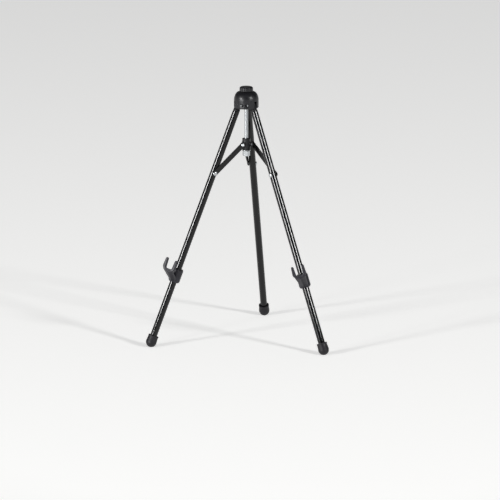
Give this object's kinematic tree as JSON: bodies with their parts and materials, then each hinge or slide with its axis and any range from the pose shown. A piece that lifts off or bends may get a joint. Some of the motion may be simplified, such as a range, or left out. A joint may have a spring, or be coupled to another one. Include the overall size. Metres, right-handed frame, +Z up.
{
  "type": "display easel",
  "caption": "Tabletop tripod easel: black tube legs hinged under a crown, folding struts on a sliding runner, and a swivelling forked holder on each front leg.",
  "frame": {"origin": "middle of the easel's footprint box, on the table", "axes": "+Z up, the picture side faces -Y, +X to the right as seen from the picture side"},
  "size_m": [0.2556, 0.2278, 0.356],
  "materials": {
    "black_enamel": "gloss",
    "black_nylon": "satin",
    "charcoal_plastic": "satin",
    "black_rubber": "matte",
    "zinc_steel": "satin"
  },
  "bodies": {
    "crown": {"hub": "black_nylon", "hub_cap": "black_nylon", "post": "zinc_steel", "post_nut": "zinc_steel", "post_washer": "zinc_steel", "post_end_nut": "zinc_steel", "hub_pin_left": "zinc_steel", "hub_pin_right": "zinc_steel", "hub_pin_rear": "zinc_steel"},
    "leg_left": {"leg_tube_left": "black_enamel", "leg_plug_left": "black_nylon", "foot_left": "black_rubber", "strut_rivet_left": "zinc_steel"},
    "leg_right": {"leg_tube_right": "black_enamel", "leg_plug_right": "black_nylon", "foot_right": "black_rubber", "strut_rivet_right": "zinc_steel"},
    "leg_rear": {"leg_tube_rear": "black_enamel", "leg_plug_rear": "black_nylon", "foot_rear": "black_rubber", "strut_rivet_rear": "zinc_steel"},
    "runner": {"runner": "black_nylon", "runner_pin_left": "zinc_steel", "runner_pin_right": "zinc_steel", "runner_pin_rear": "zinc_steel"},
    "link_left": {"strut_left": "black_enamel"},
    "link_right": {"strut_right": "black_enamel"},
    "link_rear": {"strut_rear": "black_enamel"},
    "grip_left": {"grip_sleeve_left": "black_nylon"},
    "hook_left": {"holder_left": "charcoal_plastic"},
    "grip_right": {"grip_sleeve_right": "black_nylon"},
    "hook_right": {"holder_right": "charcoal_plastic"}
  },
  "joints": [
    {"name": "fold_left", "type": "hinge", "parent": "crown", "child": "leg_left", "pos_m": [-0.00953, -0.03797, 0.33197], "axis": [0.5, -0.866, 0], "range_deg": [0, 16.5]},
    {"name": "fold_right", "type": "hinge", "parent": "crown", "child": "leg_right", "pos_m": [0.00953, -0.03797, 0.33197], "axis": [0.5, 0.866, 0], "range_deg": [0, 16.5]},
    {"name": "fold_rear", "type": "hinge", "parent": "crown", "child": "leg_rear", "pos_m": [0, -0.02147, 0.33197], "axis": [-1, 0, 0], "range_deg": [0, 16.5]},
    {"name": "runner_slide", "type": "slide", "parent": "crown", "child": "runner", "axis": [0, 0, 1], "range_m": [0, 0.0081]},
    {"name": "link_left_turn", "type": "hinge", "parent": "runner", "child": "link_left", "pos_m": [-0.00606, -0.03597, 0.27598], "axis": [0.5, -0.866, 0], "range_deg": [0, 34]},
    {"name": "link_right_turn", "type": "hinge", "parent": "runner", "child": "link_right", "pos_m": [0.00606, -0.03597, 0.27598], "axis": [0.5, 0.866, 0], "range_deg": [0, 34]},
    {"name": "link_rear_turn", "type": "hinge", "parent": "runner", "child": "link_rear", "pos_m": [0, -0.02547, 0.27598], "axis": [-1, 0, 0], "range_deg": [0, 34]},
    {"name": "grip_left_slide", "type": "slide", "parent": "leg_left", "child": "grip_left", "axis": [0.3174, 0.1833, 0.9304], "range_m": [-0.065, 0.08]},
    {"name": "hook_left_swivel", "type": "hinge", "parent": "grip_left", "child": "hook_left", "pos_m": [-0.0924, -0.08581, 0.08904], "axis": [0.3174, 0.1833, 0.9304], "range_deg": [-75, 105]},
    {"name": "grip_right_slide", "type": "slide", "parent": "leg_right", "child": "grip_right", "axis": [-0.3174, 0.1833, 0.9304], "range_m": [-0.065, 0.08]},
    {"name": "hook_right_swivel", "type": "hinge", "parent": "grip_right", "child": "hook_right", "pos_m": [0.0924, -0.08581, 0.08904], "axis": [-0.3174, 0.1833, 0.9304], "range_deg": [-94, 86]}
  ],
  "couplings": [
    {"joint": "fold_right", "follows": "fold_left", "ratio": 1},
    {"joint": "fold_rear", "follows": "fold_left", "ratio": 1},
    {"joint": "runner_slide", "follows": "fold_left", "m_per_rad": 0.02803},
    {"joint": "link_left_turn", "follows": "fold_left", "ratio": 2.057},
    {"joint": "link_right_turn", "follows": "fold_left", "ratio": 2.057},
    {"joint": "link_rear_turn", "follows": "fold_left", "ratio": 2.057}
  ]
}
